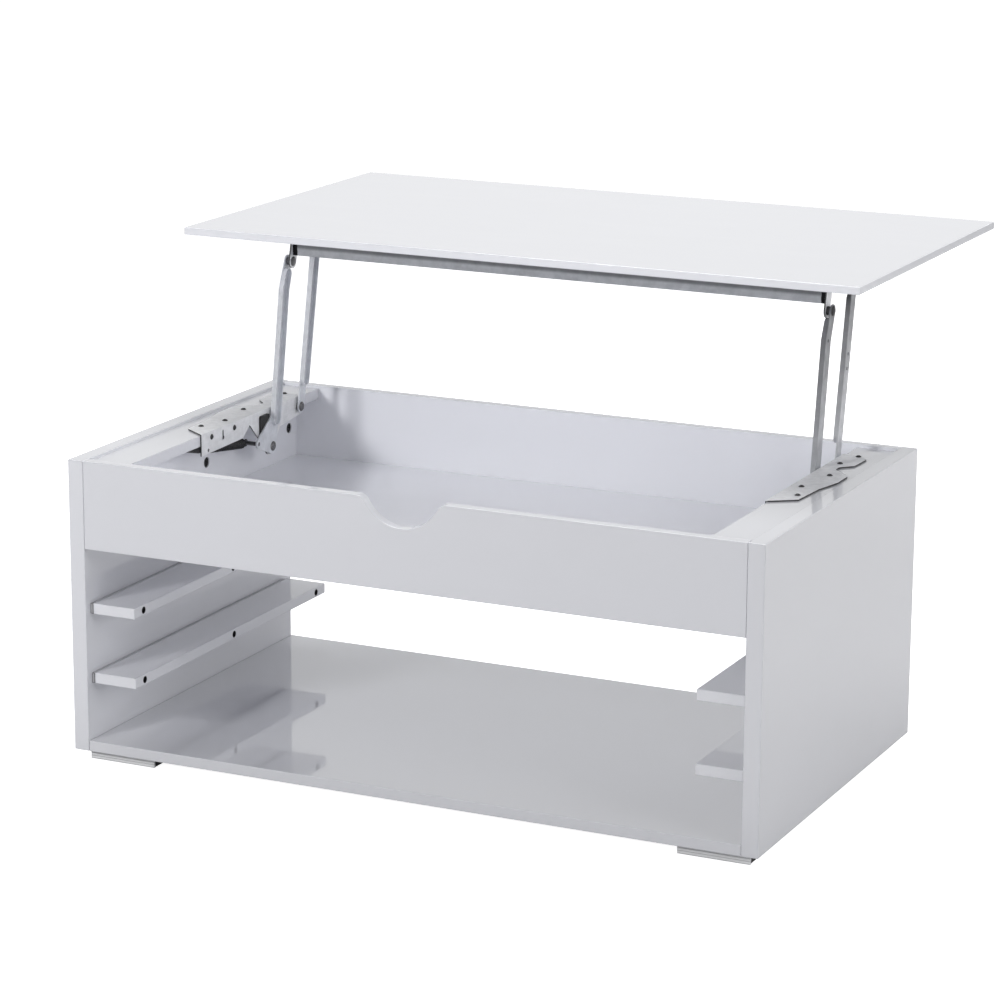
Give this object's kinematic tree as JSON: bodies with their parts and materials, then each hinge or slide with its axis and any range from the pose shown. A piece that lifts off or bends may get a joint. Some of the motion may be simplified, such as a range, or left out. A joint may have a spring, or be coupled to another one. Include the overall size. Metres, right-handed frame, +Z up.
{
  "type": "lift top coffee table",
  "caption": "White lift-top coffee table: box carcass with a storage well, open bay with side rails, and a top that swings up and back, level, on steel arms.",
  "frame": {"origin": "on the floor, midway across the width and midway between the front of the carcass and the back edge of the raised top", "axes": "+X to the right, +Y to the back (the way the top travels as it rises), +Z up"},
  "size_m": [1, 0.8822, 0.6893],
  "materials": {
    "white_lacquer": "white gloss lacquer on board",
    "top_lacquer": "white gloss lacquer on board",
    "rail_packer": "painted strip",
    "arm_steel": "silver powder coat",
    "bracket_steel": "silver powder coat",
    "pin_steel": "turned, dark zinc",
    "spring_steel": "black oxide",
    "black_screws": "black oxide",
    "black_cams": "satin",
    "black_nylon": "satin",
    "foot_plastic": "matt",
    "foot_metal": "satin",
    "beech_dowels": "raw"
  },
  "bodies": {
    "carcass": {"back_foot_left": "foot_plastic", "back_foot_right": "foot_plastic", "back_foot_strip_left": "foot_metal", "back_foot_strip_right": "foot_metal", "back_panel": "white_lacquer", "base_bracket_left": "bracket_steel", "base_bracket_right": "bracket_steel", "base_bracket_screws_left": "black_screws", "base_bracket_screws_right": "black_screws", "base_pins_left": "pin_steel", "base_pins_right": "pin_steel", "bottom_shelf": "white_lacquer", "carcass_dowels": "beech_dowels", "front_apron": "white_lacquer", "front_foot_left": "foot_plastic", "front_foot_right": "foot_plastic", "front_foot_strip_left": "foot_metal", "front_foot_strip_right": "foot_metal", "glide_pad_left": "black_nylon", "glide_pad_right": "black_nylon", "ledge_left": "white_lacquer", "ledge_right": "white_lacquer", "lining_cams_left": "black_cams", "lining_cams_right": "black_cams", "lower_rail_left": "white_lacquer", "lower_rail_packer_left": "rail_packer", "lower_rail_packer_right": "rail_packer", "lower_rail_right": "white_lacquer", "rail_screws_left": "black_screws", "rail_screws_right": "black_screws", "side_panel_left": "white_lacquer", "side_panel_right": "white_lacquer", "spring_left": "spring_steel", "spring_right": "spring_steel", "upper_rail_left": "white_lacquer", "upper_rail_packer_left": "rail_packer", "upper_rail_packer_right": "rail_packer", "upper_rail_right": "white_lacquer", "well_floor": "white_lacquer", "well_lining_left": "white_lacquer", "well_lining_right": "white_lacquer"},
    "top": {"table_top": "top_lacquer", "cross_bar": "bracket_steel", "top_bracket_left": "bracket_steel", "top_bracket_screws_left": "black_screws", "top_pins_left": "pin_steel", "top_bracket_right": "bracket_steel", "top_bracket_screws_right": "black_screws", "top_pins_right": "pin_steel"},
    "load_arm_left": {"front_arm_left": "arm_steel", "crank_pin_left": "pin_steel"},
    "idle_arm_left": {"rear_arm_left": "arm_steel"},
    "load_arm_right": {"front_arm_right": "arm_steel", "crank_pin_right": "pin_steel"},
    "idle_arm_right": {"rear_arm_right": "arm_steel"}
  },
  "joints": [
    {"name": "lift", "type": "hinge", "parent": "carcass", "child": "load_arm_left", "pos_m": [-0.413, -0.03411, 0.365], "axis": [1, 0, 0], "range_deg": [0, 99.6], "deforming": ["spring_left"]},
    {"name": "top_level", "type": "hinge", "parent": "load_arm_left", "child": "top", "pos_m": [-0.413, 0.01618, 0.6262], "axis": [1, 0, 0], "range_deg": [-99.6, 0]},
    {"name": "load_arm_right_pivot", "type": "hinge", "parent": "carcass", "child": "load_arm_right", "pos_m": [0.413, -0.03411, 0.365], "axis": [1, 0, 0], "range_deg": [0, 99.6], "deforming": ["spring_right"]},
    {"name": "idle_arm_left_pivot", "type": "hinge", "parent": "carcass", "child": "idle_arm_left", "pos_m": [-0.413, 0.05189, 0.406], "axis": [1, 0, 0], "range_deg": [0, 99.6]},
    {"name": "idle_arm_right_pivot", "type": "hinge", "parent": "carcass", "child": "idle_arm_right", "pos_m": [0.413, 0.05189, 0.406], "axis": [1, 0, 0], "range_deg": [0, 99.6]}
  ],
  "couplings": [
    {"joint": "top_level", "follows": "lift", "ratio": -1},
    {"joint": "load_arm_right_pivot", "follows": "lift", "ratio": 1},
    {"joint": "idle_arm_left_pivot", "follows": "lift", "ratio": 1},
    {"joint": "idle_arm_right_pivot", "follows": "lift", "ratio": 1}
  ]
}
